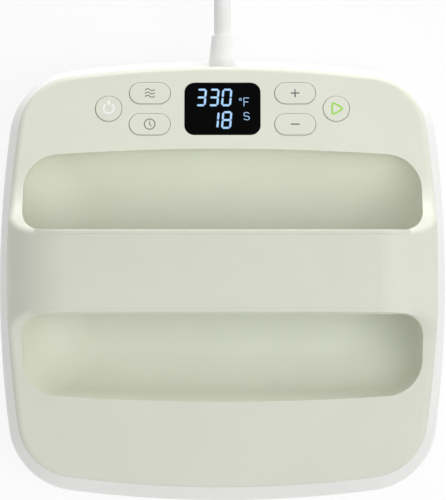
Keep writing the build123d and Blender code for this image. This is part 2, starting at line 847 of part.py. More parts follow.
groups = {
    "plate_spacers": spacers(plate_thickness, shield_z),
    "shield_spacers": spacers(shield_z + shield_thickness, floor_z),
    "plate_screws": screws(
        Plane.XY.offset(floor_top_z),
        plate_screw_places,
        plate_screw_diameter,
        plate_screw_head_diameter,
        plate_screw_head_height,
        floor_top_z - plate_thickness + plate_screw_bite - 1,
    ),
    "shell_screws": screws(
        Plane(origin=(0, 0, floor_z), x_dir=(1, 0, 0), z_dir=(0, 0, -1)),
        [(x, -y) for x, y in shell_screw_places],
        screw_diameter,
        screw_head_diameter,
        screw_head_height,
        floor_thickness + shell_screw_bite,
    ),
    "well_screws": screws(
        Plane(origin=(0, 0, floor_z), x_dir=(1, 0, 0), z_dir=(0, 0, -1)),
        [(x, -y) for x, y in well_screw_places],
        screw_diameter,
        screw_head_diameter,
        screw_head_height,
        floor_thickness + well_screw_bite,
    ),
    "handle_screws": screws(
        Plane(origin=(0, 0, handle_under_z + handle_wall), x_dir=(1, 0, 0), z_dir=(0, 0, -1)),
        [(x, 0) for x in handle_screw_xs],
        screw_diameter,
        screw_head_diameter,
        screw_head_height,
        handle_boss_z - handle_under_z - handle_wall + handle_screw_bite - 1,
    ),
    "board_screws": screws(
        Plane(
            origin=panel.offset(-board_depth - board_thickness).origin,
            x_dir=(1, 0, 0),
            z_dir=-panel.z_dir,
        ),
        [(u, -v) for u, v in board_screw_places],
        board_screw_diameter,
        board_screw_head_diameter,
        board_screw_head_height,
        board_thickness + board_screw_bite - 1,
    ),
    "power_board_screws": screws(
        Plane.XY.offset(power_board_z + board_thickness),
        power_screw_places,
        screw_diameter,
        screw_head_diameter,
        screw_head_height,
        board_thickness + 4,
    ),
    "clamp_screws": screws(
        Plane.XY.offset(cord_axis_z + clamp_thickness),
        clamp_screw_places,
        screw_diameter,
        screw_head_diameter,
        screw_head_height,
        clamp_thickness + 5,
    ),
}
for name, group in groups.items():
    group.label = name
    export_step(group, f"parts/{name}.step")

# Black window with its dead-flat front flush with the deck
with BuildPart() as display_window:
    with BuildSketch(panel.offset(-window_thickness)):
        RectangleRounded(display_width, display_height, display_radius)
    extrude(amount=window_thickness)
    fillet(display_window.faces().sort_by(Axis(panel.origin, panel.z_dir))[-1].edges(), 0.3)
display_window.part.label = "display_window"
export_step(display_window.part, "parts/display_window.step")

# Display block between the window and the board
with BuildPart() as display_module:
    with BuildSketch(panel.offset(-shell_wall - fit)):
        RectangleRounded(display_width - 1, display_height - 1, 1.5)
    extrude(amount=shell_wall + fit - board_depth)
display_module.part.label = "display_module"
export_step(display_module.part, "parts/display_module.step")

# Control board under the rear deck
with BuildPart() as control_board:
    with BuildSketch(panel.offset(-board_depth - board_thickness)):
        RectangleRounded(2 * board_half_x, 2 * board_half_y, 2)
        with Locations(board_screw_places):
            Circle(board_screw_diameter / 2 + seat, mode=Mode.SUBTRACT)
    extrude(amount=board_thickness)
control_board.part.label = "control_board"
export_step(control_board.part, "parts/control_board.step")

control_places = [(u, v) for name, kind, u, v in controls]
plunger_depth = board_depth - switch_height - plunger_proud

# Six push switches on the board
with BuildPart() as tact_switches:
    with BuildSketch(panel.offset(-board_depth)):
        with Locations(control_places):
            RectangleRounded(switch_size, switch_size, 0.6)
    extrude(amount=switch_height)
    with BuildSketch(panel.offset(-board_depth + switch_height)):
        with Locations(control_places):
            Circle(plunger_diameter / 2 + seat)
    extrude(amount=-(plunger_height - plunger_proud + button_travel + fit), mode=Mode.SUBTRACT)
tact_switches.part.label = "tact_switches"
export_step(tact_switches.part, "parts/tact_switches.step")

for name, kind, u, v in controls:
    with BuildPart() as button:
        with BuildSketch(panel.offset(button_proud)):
            with Locations((u, v)):
                draw_control(kind, 0)
        extrude(amount=-button_proud - shell_wall - fit)
        top_face = button.faces().sort_by(Axis(panel.origin, panel.z_dir))[-1]
        fillet(top_face.edges(), button_edge_radius)
        with BuildSketch(panel.offset(-shell_wall - fit)):
            with Locations((u, v)):
                draw_control(kind, button_flange)
        extrude(amount=-button_flange_thickness)
        with BuildSketch(panel.offset(-shell_wall - fit)):
            with Locations((u, v)):
                Circle(button_stem_diameter / 2)
        extrude(amount=-(plunger_depth - shell_wall - fit))
    button.part.label = f"{name}_button"
    export_step(button.part, f"parts/{name}_button.step")
    with BuildPart() as plunger:
        with BuildSketch(panel.offset(-plunger_depth)):
            with Locations((u, v)):
                Circle(plunger_diameter / 2)
        extrude(amount=-plunger_height)
    plunger.part.label = f"{name}_plunger"
    export_step(plunger.part, f"parts/{name}_plunger.step")


def block(centre, size, low_z):
    """A block with rounded edges that stands on a board or on the floor."""
    with BuildPart() as made:
        with BuildSketch(Plane.XY.offset(low_z)):
            with Locations(centre):
                Rectangle(size[0], size[1])
        extrude(amount=size[2])
        fillet(made.edges().filter_by(Axis.Z), block_edge_radius)
        fillet(made.faces().sort_by(Axis.Z)[-1].edges(), block_edge_radius / 2)
    return made.part


# Power board and what stands on it
with BuildPart() as power_board:
    with BuildSketch(Plane.XY.offset(power_board_z)):
        with Locations((power_board_x, power_board_y)):
            RectangleRounded(power_board_width, power_board_depth, 2)
        with Locations(power_screw_places):
            Circle(screw_diameter / 2 + seat, mode=Mode.SUBTRACT)
    extrude(amount=board_thickness)
power_board.part.label = "power_board"
export_step(power_board.part, "parts/power_board.step")

power_top_z = power_board_z + board_thickness
with BuildPart() as triac_heatsink:
    with BuildSketch(Plane.XY.offset(power_top_z)):
        with Locations(heatsink_place):
            Rectangle(heatsink_width, heatsink_plate)
            with GridLocations(fin_pitch, 0, fin_count, 1):
                Rectangle(fin_thickness, fin_depth)
    extrude(amount=heatsink_height)
triac_heatsink.part.label = "triac_heatsink"
export_step(triac_heatsink.part, "parts/triac_heatsink.step")

with BuildPart() as fuse:
    with BuildSketch(Plane.YZ.offset(fuse_start_x)):
        with Locations((fuse_y, power_top_z + fuse_clip[2] + fuse_diameter / 4)):
            Circle(fuse_diameter / 2)
    extrude(amount=fuse_length)
    with BuildSketch(Plane.XY.offset(power_top_z)):
        with Locations((fuse_start_x + fuse_length / 2, fuse_y)):
            with GridLocations(fuse_length - fuse_clip[0] - 1, 0, 2, 1):
                Rectangle(fuse_clip[0], fuse_clip[1])
    extrude(amount=fuse_clip[2])
fuse.part.label = "fuse"
export_step(fuse.part, "parts/fuse.step")

blocks = {
    "relay": block(relay_place, relay_size, power_top_z),
    "transformer": block(transformer_place, transformer_size, power_top_z),
    "filter_capacitor": block(capacitor_place, capacitor_size, power_top_z),
    "terminal_block": block(terminal_place, terminal_size, floor_top_z + seat),
}
for name, made in blocks.items():
    made.label = name
    export_step(made, f"parts/{name}.step")

# Beeper under the control board
with BuildPart() as beeper:
    with BuildSketch(panel.offset(-board_depth - board_thickness)):
        with Locations((beeper_u, 0)):
            Circle(beeper_diameter / 2)
    extrude(amount=-beeper_height)
    with BuildSketch(panel.offset(-board_depth - board_thickness - beeper_height)):
        with Locations((beeper_u, 0)):
            Circle(beeper_diameter / 12)
    extrude(amount=beeper_height / 5, mode=Mode.SUBTRACT)
beeper.part.label = "beeper"
export_step(beeper.part, "parts/beeper.step")

# Ribbon between the two boards
under_board = panel.offset(-board_depth - board_thickness - seat)
ribbon_start = under_board.from_local_coords((ribbon_x, ribbon_v, 0))
with BuildPart() as ribbon_cable:
    with BuildLine() as ribbon_path:
        FilletPolyline(
            ribbon_start,
            (ribbon_x, ribbon_start.Y - 1, ribbon_start.Z - 5),
            (ribbon_x, ribbon_start.Y + 0.5, power_top_z + 5),
            (ribbon_x, ribbon_start.Y, power_top_z + seat),
            radius=ribbon_bend,
        )
    ribbon_wire = ribbon_path.wire()
    with BuildSketch(Plane(origin=ribbon_wire @ 0, x_dir=(1, 0, 0), z_dir=ribbon_wire % 0)):
        Rectangle(ribbon_width, ribbon_thickness)
    sweep(path=ribbon_wire)
ribbon_cable.part.label = "ribbon_cable"
export_step(ribbon_cable.part, "parts/ribbon_cable.step")

# Leads from the element's pins to the power board and to the terminal block
pin_top_z = element_top_z + element_collar_height + element_pin_height
left_lead = tube(
    [
        (-element_end_x, element_end_y, pin_top_z),
        (-element_end_x, element_end_y, lead_high_z),
        (-lead_board_x, element_end_y, lead_high_z),
        (-lead_board_x, element_end_y, power_top_z + seat),
    ],
    [wire_bend, wire_bend],
    wire_diameter,
)
right_lead = tube(
    [
        (element_end_x, element_end_y, pin_top_z),
        (element_end_x, element_end_y, lead_high_z),
        (element_end_x + 5, terminal_place[1], lead_high_z),
        (terminal_place[0] - terminal_size[0] / 2 - seat, terminal_place[1], lead_high_z),
    ],
    [wire_bend, wire_bend],
    wire_diameter,
)
with BuildPart() as element_leads:
    add(left_lead)
    add(right_lead)
element_leads.part.label = "element_leads"
export_step(element_leads.part, "parts/element_leads.step")

# The three cores from the cord's end to the terminal block
terminal_rear_y = terminal_place[1] + terminal_size[1] / 2
with BuildPart() as core_wires:
    for i in range(3):
        core_z = cord_axis_z + (i - 1) * core_pitch
        core_x = terminal_place[0] + (i - 1) * 7.0
        add(
            tube(
                [
                    (0, cord_end_y, core_z),
                    (0, core_lane_y, core_z),
                    (core_x, core_lane_y, core_z),
                    (core_x, terminal_rear_y + seat, core_z),
                ],
                [wire_bend, wire_bend],
                wire_diameter,
            )
        )
core_wires.part.label = "core_wires"
export_step(core_wires.part, "parts/core_wires.step")

# Clamp that holds the cord against its cradle
with BuildPart() as cord_clamp:
    with BuildSketch(Plane.XZ.offset(-clamp_y - clamp_width / 2)):
        with Locations((0, cord_axis_z + clamp_thickness / 2)):
            RectangleRounded(2 * clamp_half_x, clamp_thickness, 0.8)
        with Locations((0, cord_axis_z)):
            Circle(cord_diameter / 2 + clamp_thickness)
            Circle(cord_diameter / 2 + seat, mode=Mode.SUBTRACT)
        with Locations((0, cord_axis_z - boss_diameter)):
            Rectangle(4 * clamp_half_x, 2 * boss_diameter, mode=Mode.SUBTRACT)
    extrude(amount=clamp_width)
    with BuildSketch(Plane.XY.offset(cord_axis_z)):
        with Locations(clamp_screw_places):
            Circle(screw_diameter / 2 + seat)
    extrude(amount=clamp_thickness + 1, mode=Mode.SUBTRACT)
cord_clamp.part.label = "cord_clamp"
export_step(cord_clamp.part, "parts/cord_clamp.step")

# Tapered boot: an inner collar behind the skirt, a neck in its hole and the cone outside
with BuildPart() as strain_relief:
    with BuildSketch(Plane.XY):
        with BuildLine():
            Polyline(
                (cord_diameter / 2 + seat, boot_wall_y - boot_flange_thickness),
                (boot_flange_diameter / 2, boot_wall_y - boot_flange_thickness),
                (boot_flange_diameter / 2, boot_wall_y),
                (boot_base_diameter / 2, boot_wall_y),
                (boot_base_diameter / 2, boot_cone_y),
                (boot_tip_diameter / 2, boot_tip_y),
                (cord_diameter / 2 + seat, boot_tip_y),
                close=True,
            )
        make_face()
    revolve(axis=Axis.Y)
    fillet(strain_relief.edges().sort_by(Axis.Y)[-1:], 0.2)
strain_relief.part = strain_relief.part.moved(Location((0, 0, cord_axis_z)))
strain_relief.part.label = "strain_relief"
export_step(strain_relief.part, "parts/strain_relief.step")

# The cord's end inside the boot and the clamp
with BuildPart() as cord_end:
    with BuildSketch(Plane.XZ.offset(-boot_tip_y)):
        with Locations((0, cord_axis_z)):
            Circle(cord_diameter / 2)
    extrude(amount=boot_tip_y - cord_end_y)
cord_end.part.label = "cord_end"
export_step(cord_end.part, "parts/cord_end.step")

cord_rest_z = cord_diameter / 2 + cord_floor_gap
upper_rest_z = cord_rest_z + coil_layer
plug_axis_z = plug_height / 2 + cord_floor_gap


def corner_radii(points):
    """The largest radius each corner of a route allows."""
    radii = []
    for before, here, after in zip(points, points[1:], points[2:]):
        run_in = Vector(*here) - Vector(*before)
        run_out = Vector(*after) - Vector(*here)
        half_turn = math.radians(run_in.get_angle(run_out) / 2)
        radii.append(0.45 * min(run_in.length, run_out.length) / math.tan(half_turn))
    return radii


def coil_half_turns():
    """Where the coil's half turns start and end: in on the floor, one up a layer, and out again."""
    steps = [-coil_pitch / 2] * coil_turns_in + [0] + [coil_pitch / 2] * coil_turns_out
    radius = coil_outer_radius
    points = [(coil_x + radius, coil_y, cord_rest_z)]
    for turn, step in enumerate(steps):
        radius += step
        side = -1 if turn % 2 == 0 else 1
        level = cord_rest_z if turn < coil_turns_in else upper_rest_z
        points.append((coil_x + side * radius, coil_y, level))
    return points


coil_points = coil_half_turns()
lead_points = [
    (0, boot_tip_y, cord_axis_z),
    (0, 161, cord_axis_z),
    (0, 187, 27.5),
    (0, 212, 11.5),
    (0, 236, cord_rest_z),
    (coil_points[0][0], coil_y, cord_rest_z),
]
tail_points = [
    coil_points[-1],
    (-5.5, 292, upper_rest_z),
    (15, 320, 9.0),
    (48, 331, cord_rest_z),
    (81, 320, 6.5),
    (plug_x, 292, plug_axis_z),
    (plug_x, plug_rear_y, plug_axis_z),
]
for name, points in (("mains_cord", lead_points), ("cord_tail", tail_points)):
    radii = corner_radii(points)
    route = tube(points, radii, cord_diameter)
    route.label = name
    export_step(route, f"parts/{name}.step")
    with BuildLine() as line:
        FilletPolyline(*points, radius=radii)
    section = math.pi * cord_diameter**2 / 4
    print(name, "radii", [round(r) for r in radii], "length", round(line.wire().length, 1))
    print(name, "volume over section times length", round(route.volume / section / line.wire().length, 4))

# The put-away coil: half turns whose sides step in by half a pitch, each two arcs
with BuildPart() as cord_coil:
    with BuildLine() as coil_path:
        for turn, (start, end) in enumerate(zip(coil_points, coil_points[1:])):
            heading = Vector(0, 1 if turn % 2 == 0 else -1, 0)
            chord = Vector(*end) - Vector(*start)
            middle = Vector(*start) + chord / 2 + heading * (chord.length / 2)
            TangentArc(start, middle, tangent=heading)
            TangentArc(end, middle, tangent=heading)
    coil_wire = coil_path.wire()
    with BuildSketch(Plane(origin=coil_wire @ 0, z_dir=(0, 1, 0))):
        Circle(cord_diameter / 2)
    sweep(path=coil_wire)
cord_coil.part.label = "cord_coil"
export_step(cord_coil.part, "parts/cord_coil.step")

samples = [coil_wire @ (i / coil_samples) for i in range(coil_samples + 1)]
step_length = coil_wire.length / coil_samples
skip = int(4 * cord_diameter / step_length)
least = min(
    (samples[i] - samples[j]).length
    for i in range(coil_samples + 1)
    for j in range(i + skip, coil_samples + 1)
)
section = math.pi * cord_diameter**2 / 4
print("coil length", round(coil_wire.length, 1), "least gap to itself", round(least - cord_diameter, 2))
print("coil volume over section times length", round(cord_coil.part.volume / section / coil_wire.length, 4))

# Moulded plug, lying flat behind the press
with BuildPart() as plug_body:
    with BuildSketch(Plane.XZ.offset(-plug_rear_y)):
        with Locations((plug_x, plug_axis_z)):
            Circle(plug_neck_diameter / 2)
    with BuildSketch(Plane.XZ.offset(-plug_rear_y + plug_neck_length)):
        with Locations((plug_x, plug_axis_z)):
            Circle(plug_neck_diameter / 2 + plug_neck_flare)
    loft(ruled=True)
    with BuildSketch(Plane.XZ.offset(-plug_rear_y + plug_neck_length)):
        with Locations((plug_x, plug_axis_z)):
            RectangleRounded(plug_width, plug_height, plug_corner_radius)
    extrude(amount=plug_length)
    fillet(plug_body.faces().sort_by(Axis.Y)[0].edges(), plug_edge_radius)
plug_body.part.label = "plug_body"
export_step(plug_body.part, "parts/plug_body.step")

plug_face_y = plug_rear_y - plug_neck_length - plug_length
with BuildPart() as plug_blades:
    with BuildSketch(Plane.XZ.offset(-plug_face_y)):
        with Locations((plug_x, plug_axis_z - blade_drop)):
            with GridLocations(blade_pitch, 0, 2, 1):
                Rectangle(blade_size[0], blade_size[1])
        with Locations((plug_x, plug_axis_z + earth_pin_rise)):
            Circle(earth_pin_diameter / 2)
    extrude(amount=plug_blade_length)
plug_blades.part.label = "plug_blades"
export_step(plug_blades.part, "parts/plug_blades.step")
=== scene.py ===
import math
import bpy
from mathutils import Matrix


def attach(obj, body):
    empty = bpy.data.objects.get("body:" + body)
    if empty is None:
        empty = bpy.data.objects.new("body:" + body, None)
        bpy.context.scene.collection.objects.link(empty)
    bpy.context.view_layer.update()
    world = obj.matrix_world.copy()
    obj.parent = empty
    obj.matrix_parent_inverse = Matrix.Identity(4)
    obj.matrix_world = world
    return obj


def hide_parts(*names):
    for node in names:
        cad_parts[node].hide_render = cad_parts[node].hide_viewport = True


bl_info = {
    "name": "Heat press looks",
    "version": (1, 0, 0),
    "blender": (4, 5, 0),
    "location": "3D View > Sidebar > Heat press",
    "description": "Finishes, display, symbols, cord and studio for a handheld heat press",
    "category": "Object",
}

import bmesh
import bpy
from bpy.props import FloatProperty, FloatVectorProperty, PointerProperty
from mathutils import Matrix, Vector

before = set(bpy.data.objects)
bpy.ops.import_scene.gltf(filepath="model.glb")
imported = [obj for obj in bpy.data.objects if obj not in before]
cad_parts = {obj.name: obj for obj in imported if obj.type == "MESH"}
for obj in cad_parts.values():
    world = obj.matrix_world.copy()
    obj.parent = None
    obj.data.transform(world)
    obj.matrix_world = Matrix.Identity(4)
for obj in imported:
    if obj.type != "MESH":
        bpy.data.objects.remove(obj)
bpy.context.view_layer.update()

MM = 0.001

# The rear deck's plane, as part.py has it: its slope, and in millimetres where it starts
# beside the handle and where the panel's middle is
DECK_SLOPE = math.radians(13.0)
DECK_START_Y = 54.0
DECK_START_Z = 72.5
PANEL_MIDDLE_Y = 92.7
PANEL_MIDDLE_Z = DECK_START_Z - (PANEL_MIDDLE_Y - DECK_START_Y) * math.tan(DECK_SLOPE)

# How far the buttons' tops stand out of the deck
BUTTON_PROUD = 0.35 * MM

# Where the buttons' middles are on the panel, u to the right and v to the rear
ROUND_U = 63.2 * MM
PILL_U = 40.35 * MM
PILL_V = 9.1 * MM

# The cord's size, in metres
CORD_DIAMETER = 9.5 * MM
CORD_LENGTH = 1.905

# The cord's route as part.py has it, in millimetres: from the boot to the coil, the coil,
# and from the coil to the plug
CORD_EXIT = (0, 136.2, 39.5)
LEAD_POINTS = [
    CORD_EXIT,
    (0, 161, 39.5),
    (0, 187, 27.5),
    (0, 212, 11.5),
    (0, 236, 4.85),
]
COIL_MIDDLE = (-68.0, 258.0)
COIL_OUTER_RADIUS = 68.0
COIL_PITCH = 12.2
COIL_LOW_Z = 4.85
COIL_HIGH_Z = 15.25
COIL_TURNS_IN = 5
COIL_TURNS_OUT = 4
POINTS_PER_HALF_TURN = 8
TAIL_POINTS = [
    (-5.5, 292, 15.25),
    (15, 320, 9.0),
    (48, 331, 4.85),
    (81, 320, 6.5),
    (102, 292, 11.6),
    (102, 258, 11.6),
]

# Most of a noise texture's values lie in this range
NOISE_LOW = 0.3
NOISE_HIGH = 0.7

# The part of that range in which a colour passes from its dark tone to its light one
RAMP_LOW = 0.35
RAMP_HIGH = 0.65

# How thick a printed symbol is, as a share of its line's width
PRINT_THICKNESS = 0.1


def srgb(red, green, blue):
    """A display colour, each part 0 to 255, as the linear colour that Blender mixes in."""
    parts = []
    for value in (red, green, blue):
        value /= 255
        parts.append(value / 12.92 if value <= 0.04045 else ((value + 0.055) / 1.055) ** 2.4)
    return tuple(parts)


class HeatPressFinish(bpy.types.PropertyGroup):
    """Colours and surface sizes of the press"""

    shell_colour: FloatVectorProperty(
        name="Shell", description="Pale sage green of the top shell and the buttons",
        subtype="COLOR", min=0, max=1, default=srgb(226, 229, 214),
    )
    skirt_colour: FloatVectorProperty(
        name="Skirt", description="White of the lower housing", subtype="COLOR",
        min=0, max=1, default=srgb(247, 247, 245),
    )
    cord_colour: FloatVectorProperty(
        name="Cord", description="White of the cord, its boot and its plug", subtype="COLOR",
        min=0, max=1, default=srgb(240, 240, 239),
    )
    sole_colour: FloatVectorProperty(
        name="Sole", description="Dark non-stick coat of the heat plate", subtype="COLOR",
        min=0, max=1, default=srgb(74, 74, 76),
    )
    grain_size: FloatProperty(
        name="Grain", description="Size of the fine grain moulded into the plastic",
        unit="LENGTH", min=0.0001, max=0.002, default=0.35 * MM,
    )
    shell_roughness: FloatProperty(
        name="Shell roughness", description="How matt the shell is", subtype="FACTOR",
        min=0, max=1, default=0.46,
    )


class HeatPressDisplay(bpy.types.PropertyGroup):
    """The lit digits and the printed symbols"""

    light_colour: FloatVectorProperty(
        name="Digits", description="Colour of the lit digits", subtype="COLOR",
        min=0, max=1, default=srgb(166, 209, 255),
    )
    digit_height: FloatProperty(
        name="Digit height", description="Height of a digit", unit="LENGTH",
        min=0.004, max=0.02, default=10.3 * MM,
    )
    digit_width: FloatProperty(
        name="Digit width", description="Width of a digit", unit="LENGTH",
        min=0.002, max=0.01, default=5.6 * MM,
    )
    digit_pitch: FloatProperty(
        name="Digit pitch", description="Distance from one digit to the next", unit="LENGTH",
        min=0.003, max=0.012, default=7.05 * MM,
    )
    segment_width: FloatProperty(
        name="Segment width", description="Width of a digit's segments", unit="LENGTH",
        min=0.0005, max=0.003, default=1.15 * MM,
    )
    digit_lean: FloatProperty(
        name="Lean", description="How far the digits lean to the right", subtype="ANGLE",
        min=0, max=0.3, default=math.radians(4.6),
    )
    symbol_line: FloatProperty(
        name="Symbol line", description="Line width of the temperature and timer symbols",
        unit="LENGTH", min=0.0002, max=0.002, default=0.56 * MM,
    )


class HeatPressCord(bpy.types.PropertyGroup):
    """The mains cord"""

    diameter: FloatProperty(
        name="Diameter", description="Diameter of the cord", unit="LENGTH",
        min=0.004, max=0.015, default=CORD_DIAMETER,
    )
    length: FloatProperty(
        name="Length", description="Length of the cord outside the boot", unit="LENGTH",
        min=0.5, max=4, default=CORD_LENGTH,
    )


class HeatPressStudio(bpy.types.PropertyGroup):
    """Floor, lamps and camera"""

    camera_distance: FloatProperty(
        name="Camera distance", description="From the camera to the middle of the picture",
        unit="LENGTH", min=0.5, max=10, default=1.99,
    )
    camera_tilt: FloatProperty(
        name="Camera tilt",
        description="How far the camera leans to the front from straight above",
        subtype="ANGLE", min=0, max=1.5, default=math.radians(3.4),
    )
    lens: FloatProperty(
        name="Lens", description="Focal length on a sensor 36 mm high, in millimetres",
        min=20, max=500, default=252.0,
    )
    ambient: FloatProperty(
        name="Ambient", description="Strength of the even light from all sides",
        min=0, max=2, default=0.45,
    )
    key_power: FloatProperty(
        name="Key lamp", description="Power of the lamp high on the right", subtype="POWER",
        min=0, max=100, default=10.6,
    )
    rear_power: FloatProperty(
        name="Rear lamp", description="Power of the low lamp behind the press",
        subtype="POWER", min=0, max=100, default=14.0,
    )
    fill_power: FloatProperty(
        name="Fill lamp", description="Power of the low lamp at the front left",
        subtype="POWER", min=0, max=100, default=2.2,
    )


def panel_place(u, v, rise):
    """The matrix that lays a flat shape drawn in XY on the rear deck, at u, v and this rise."""
    right = Vector((1, 0, 0))
    rear = Vector((0, math.cos(DECK_SLOPE), -math.sin(DECK_SLOPE)))
    normal = Vector((0, math.sin(DECK_SLOPE), math.cos(DECK_SLOPE)))
    panel_middle = Vector((0, PANEL_MIDDLE_Y * MM, PANEL_MIDDLE_Z * MM))
    middle = panel_middle + right * u + rear * v + normal * rise
    turn = Matrix((right, rear, normal)).transposed().to_4x4()
    return Matrix.Translation(middle) @ turn


def link(data, name):
    """A new object at the origin for a mesh, curve, lamp or camera."""
    made = bpy.data.objects.new(name, data)
    bpy.context.scene.collection.objects.link(made)
    return made


def finish_mesh(shape, name, material):
    """Turns a bmesh into an object with one material, doubles merged and faces outwards."""
    bmesh.ops.remove_doubles(shape, verts=shape.verts, dist=0.001 * MM)
    bmesh.ops.recalc_face_normals(shape, faces=shape.faces)
    mesh = bpy.data.meshes.new(name)
    shape.to_mesh(mesh)
    shape.free()
    mesh.materials.append(material)
    return link(mesh, name)


def join_meshes(meshes):
    """One bmesh of several meshes, which are removed."""
    shape = bmesh.new()
    for mesh in meshes:
        shape.from_mesh(mesh)
        bpy.data.meshes.remove(mesh)
    return shape


def empty_tree(owner):
    """The node tree of a new material or world, without nodes."""
    owner.use_nodes = True
    owner.node_tree.nodes.clear()
    return owner.node_tree


def start_material(name):
    """A material with one principled shader; returns it, its node tree and the shader."""
    material = bpy.data.materials.new(name)
    tree = empty_tree(material)
    output = tree.nodes.new("ShaderNodeOutputMaterial")
    shader = tree.nodes.new("ShaderNodeBsdfPrincipled")
    tree.links.new(shader.outputs["BSDF"], output.inputs["Surface"])
    return material, tree, shader


def object_noise(tree, size, detail=2.0, squeeze=None):
    """Noise on Object coordinates with spots of about this size, squeezed along each axis."""
    place = tree.nodes.new("ShaderNodeTexCoord").outputs["Object"]
    if squeeze:
        mapping = tree.nodes.new("ShaderNodeMapping")
        mapping.inputs["Scale"].default_value = squeeze
        tree.links.new(place, mapping.inputs["Vector"])
        place = mapping.outputs["Vector"]
    noise = tree.nodes.new("ShaderNodeTexNoise")
    noise.inputs["Scale"].default_value = 1 / size
    noise.inputs["Detail"].default_value = detail
    tree.links.new(place, noise.inputs["Vector"])
    return noise.outputs["Fac"]


def vary_roughness(tree, source, shader, low, high):
    """A roughness that goes from low to high with a noise value."""
    ranged = tree.nodes.new("ShaderNodeMapRange")
    ranged.inputs["From Min"].default_value = NOISE_LOW
    ranged.inputs["From Max"].default_value = NOISE_HIGH
    ranged.inputs["To Min"].default_value = low
    ranged.inputs["To Max"].default_value = high
    tree.links.new(source, ranged.inputs["Value"])
    tree.links.new(ranged.outputs["Result"], shader.inputs["Roughness"])


def vary_colour(tree, source, shader, colour, dark, light, socket="Base Color"):
    """A colour that goes from dark to light, both factors of it, with a noise value."""
    ramp = tree.nodes.new("ShaderNodeValToRGB")
    ramp.color_ramp.elements[0].position = RAMP_LOW
    ramp.color_ramp.elements[0].color = (*scaled(colour, dark), 1)
    ramp.color_ramp.elements[1].position = RAMP_HIGH
    ramp.color_ramp.elements[1].color = (*scaled(colour, light), 1)
    tree.links.new(source, ramp.inputs["Fac"])
    tree.links.new(ramp.outputs["Color"], shader.inputs[socket])


def raise_bumps(tree, source, shader, height, strength):
    """Bumps of this height from a noise value."""
    bump = tree.nodes.new("ShaderNodeBump")
    bump.inputs["Strength"].default_value = strength
    bump.inputs["Distance"].default_value = height
    tree.links.new(source, bump.inputs["Height"])
    tree.links.new(bump.outputs["Normal"], shader.inputs["Normal"])


def scaled(colour, factor):
    """A colour made darker or lighter."""
    return tuple(min(1, part * factor) for part in colour)


def moulded_plastic(name, colour, roughness, grain, mottle=0.012, strength=0.12):
    """Moulded plastic: a fine spark-eroded grain, faint clouding and uneven gloss."""
    material, tree, shader = start_material(name)
    clouds = object_noise(tree, size=35 * MM, detail=3)
    vary_colour(tree, clouds, shader, colour, dark=1 - mottle, light=1 + mottle)
    gloss = object_noise(tree, size=9 * MM, detail=4)
    vary_roughness(tree, gloss, shader, low=roughness - 0.03, high=roughness + 0.03)
    grains = object_noise(tree, size=grain, detail=2)
    raise_bumps(tree, grains, shader, height=0.02 * MM, strength=strength)
    return material


def gloss_plastic(name, colour, roughness, shine=0.5):
    """Polished plastic with faint clouding and fine rub marks in its gloss."""
    material, tree, shader = start_material(name)
    clouds = object_noise(tree, size=20 * MM, detail=3)
    vary_colour(tree, clouds, shader, colour, dark=0.9, light=1.1)
    rubs = object_noise(tree, size=2 * MM, detail=5, squeeze=(1.0, 6.0, 1.0))
    vary_roughness(tree, rubs, shader, low=roughness, high=roughness + 0.06)
    shader.inputs["Specular IOR Level"].default_value = shine
    return material


def worked_metal(name, colour, roughness, squeeze=(1.0, 12.0, 1.0), grain=0.6 * MM):
    """Drawn, rolled or plated metal: fine lines along its working direction."""
    material, tree, shader = start_material(name)
    lines = object_noise(tree, size=grain, detail=4, squeeze=squeeze)
    vary_colour(tree, lines, shader, colour, dark=0.82, light=1.08)
    vary_roughness(tree, lines, shader, low=roughness - 0.08, high=roughness + 0.1)
    raise_bumps(tree, lines, shader, height=0.01 * MM, strength=0.25)
    shader.inputs["Metallic"].default_value = 1.0
    return material


def coated_sole(name, colour):
    """Cast aluminium under a dark, faintly speckled non-stick coat."""
    material, tree, shader = start_material(name)
    specks = object_noise(tree, size=0.5 * MM, detail=6)
    vary_colour(tree, specks, shader, colour, dark=0.75, light=1.35)
    vary_roughness(tree, specks, shader, low=0.36, high=0.5)
    casting = object_noise(tree, size=1.2 * MM, detail=4)
    raise_bumps(tree, casting, shader, height=0.03 * MM, strength=0.3)
    shader.inputs["Metallic"].default_value = 0.35
    return material


def fibre_felt(name, colour):
    """Ceramic-fibre felt: matted, uneven and dull."""
    material, tree, shader = start_material(name)
    fibres = object_noise(tree, size=1.5 * MM, detail=8, squeeze=(1.0, 3.0, 8.0))
    vary_colour(tree, fibres, shader, colour, dark=0.8, light=1.05)
    raise_bumps(tree, fibres, shader, height=0.4 * MM, strength=0.7)
    shader.inputs["Roughness"].default_value = 0.95
    shader.inputs["Sheen Weight"].default_value = 0.3
    return material


def circuit_board(name, colour):
    """Lacquered board with a faint weave under its mask."""
    material, tree, shader = start_material(name)
    weave = object_noise(tree, size=0.8 * MM, detail=2, squeeze=(1.0, 1.0, 4.0))
    vary_colour(tree, weave, shader, colour, dark=0.8, light=1.3)
    vary_roughness(tree, weave, shader, low=0.2, high=0.35)
    raise_bumps(tree, weave, shader, height=0.01 * MM, strength=0.2)
    return material


def lit_segments(name, colour):
    """Light of the display, a little brighter in some spots than in others."""
    material, tree, shader = start_material(name)
    spots = object_noise(tree, size=2.5 * MM, detail=2)
    vary_colour(tree, spots, shader, colour, dark=0.86, light=1.08, socket="Emission Color")
    shader.inputs["Base Color"].default_value = (0.02, 0.03, 0.05, 1)
    shader.inputs["Emission Strength"].default_value = 1.0
    shader.inputs["Roughness"].default_value = 0.4
    return material


def printed_ink(name, colour):
    """Screen-printed symbol: thin, satin and slightly uneven."""
    material, tree, shader = start_material(name)
    cover = object_noise(tree, size=0.6 * MM, detail=3)
    vary_colour(tree, cover, shader, colour, dark=0.93, light=1.05)
    vary_roughness(tree, cover, shader, low=0.4, high=0.52)
    return material


